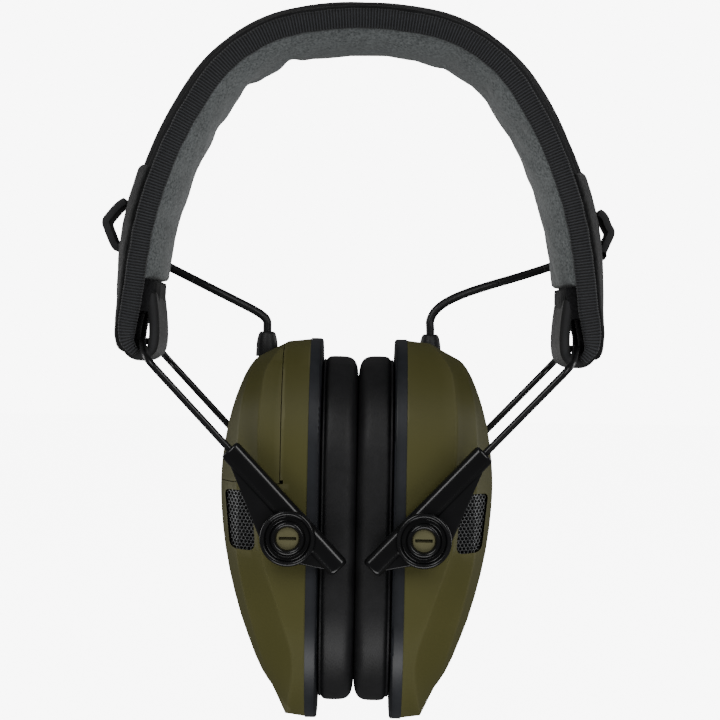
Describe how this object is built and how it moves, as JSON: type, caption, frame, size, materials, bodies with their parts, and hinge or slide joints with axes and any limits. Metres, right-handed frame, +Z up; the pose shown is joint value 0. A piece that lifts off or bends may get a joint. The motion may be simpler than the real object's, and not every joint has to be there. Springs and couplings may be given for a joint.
{
  "type": "electronic earmuff hearing protector",
  "caption": "Over-ear hearing protector: faceted slim cups with mesh grilles on sliding wire yokes under a padded fabric headband.",
  "frame": {"origin": "middle of the headband pad's underside, where it sits on the head", "axes": "+X across the head towards the cup with the volume dial, +Y to the back, +Z up"},
  "size_m": [0.1526, 0.09, 0.2137],
  "materials": {
    "spring_steel": "satin",
    "cover_fabric": "matte near-black fabric",
    "binding_tape": "ribbed woven tape with a soft sheen",
    "pad_fabric": "heathered dark grey knit",
    "strap_webbing": "woven strap",
    "hook_fabric": "brushed loop pile",
    "tab_rubber": "satin",
    "cuff_fabric": "matte",
    "cable_jacket": "satin",
    "wire_black": "glossy black coating",
    "arm_plastic": "glossy black",
    "shell_plastic": "matte olive green",
    "plate_plastic": "satin blue-black",
    "cushion_vinyl": "soft black vinyl",
    "clip_plastic": "satin",
    "foam": "open-cell foam",
    "speaker_body": "satin",
    "circuit_board": "solder mask green",
    "pin_plastic": "matte olive green",
    "grille_metal": "perforated, satin",
    "microphone_metal": "satin",
    "screw_steel": "satin",
    "gland_rubber": "satin",
    "battery_can": "plain sleeve, no label",
    "contact_metal": "satin",
    "jack_plastic": "satin"
  },
  "bodies": {
    "headband": {"band_spring": "spring_steel", "band_cover": "cover_fabric", "band_binding_front": "binding_tape", "band_binding_rear": "binding_tape", "band_pad": "pad_fabric", "end_loop_l": "strap_webbing", "closure_flap_l": "hook_fabric", "pull_tab_l": "tab_rubber", "pad_cuff_l": "cuff_fabric", "cable_l": "cable_jacket", "end_loop_r": "strap_webbing", "closure_flap_r": "hook_fabric", "pull_tab_r": "tab_rubber", "pad_cuff_r": "cuff_fabric", "cable_r": "cable_jacket"},
    "yoke_l": {"yoke_wire_l": "wire_black"},
    "arms_l": {"slider_arm_front_l": "arm_plastic", "slider_arm_rear_l": "arm_plastic"},
    "cup_l": {"cup_shell_l": "shell_plastic", "base_plate_l": "plate_plastic", "ear_cushion_l": "cushion_vinyl", "cushion_clip_ring_l": "clip_plastic", "acoustic_foam_l": "foam", "speaker_l": "speaker_body", "circuit_board_l": "circuit_board", "pivot_pins_l": "pin_plastic", "mic_grille_l": "grille_metal", "microphone_l": "microphone_metal", "plate_screws_l": "screw_steel", "cable_gland_l": "gland_rubber", "batteries": "battery_can", "battery_contacts": "contact_metal", "audio_jack": "jack_plastic"},
    "yoke_r": {"yoke_wire_r": "wire_black"},
    "arms_r": {"slider_arm_front_r": "arm_plastic", "slider_arm_rear_r": "arm_plastic"},
    "cup_r": {"cup_shell_r": "shell_plastic", "base_plate_r": "plate_plastic", "ear_cushion_r": "cushion_vinyl", "cushion_clip_ring_r": "clip_plastic", "acoustic_foam_r": "foam", "speaker_r": "speaker_body", "circuit_board_r": "circuit_board", "pivot_pins_r": "pin_plastic", "mic_grille_r": "grille_metal", "microphone_r": "microphone_metal", "plate_screws_r": "screw_steel", "cable_gland_r": "gland_rubber", "volume_pot": "jack_plastic"},
    "door": {"battery_door": "shell_plastic"},
    "dial": {"volume_dial": "arm_plastic"}
  },
  "joints": [
    {"name": "swing_r", "type": "hinge", "parent": "headband", "child": "yoke_r", "pos_m": [0.0637, 0, -0.0876], "axis": [0, -1, 0], "range_deg": [0, 40], "deforming": ["cable_r"]},
    {"name": "slide_r", "type": "slide", "parent": "yoke_r", "child": "arms_r", "axis": [-0.6896, 0, -0.7242], "range_m": [-0.02, 0]},
    {"name": "tilt_r", "type": "hinge", "parent": "arms_r", "child": "cup_r", "pos_m": [0.0194, 0, -0.1432], "axis": [0, -1, 0], "range_deg": [-40, 0]},
    {"name": "swing_l", "type": "hinge", "parent": "headband", "child": "yoke_l", "pos_m": [-0.0637, 0, -0.0876], "axis": [0, 1, 0], "range_deg": [0, 40], "deforming": ["cable_l"]},
    {"name": "slide_l", "type": "slide", "parent": "yoke_l", "child": "arms_l", "axis": [0.6896, 0, -0.7242], "range_m": [-0.02, 0]},
    {"name": "tilt_l", "type": "hinge", "parent": "arms_l", "child": "cup_l", "pos_m": [-0.0194, 0, -0.1432], "axis": [0, 1, 0], "range_deg": [-40, 0]},
    {"name": "volume_turn", "type": "hinge", "parent": "cup_r", "child": "dial", "pos_m": [0.0205, 0.0383, -0.158], "axis": [0, 1, 0], "range_deg": [0, 270]},
    {"name": "door_slide", "type": "slide", "parent": "cup_l", "child": "door", "axis": [-1, 0, 0], "range_m": [0, 0.012]}
  ],
  "couplings": [
    {"joint": "tilt_l", "follows": "swing_l", "ratio": -1},
    {"joint": "tilt_r", "follows": "swing_r", "ratio": -1}
  ]
}
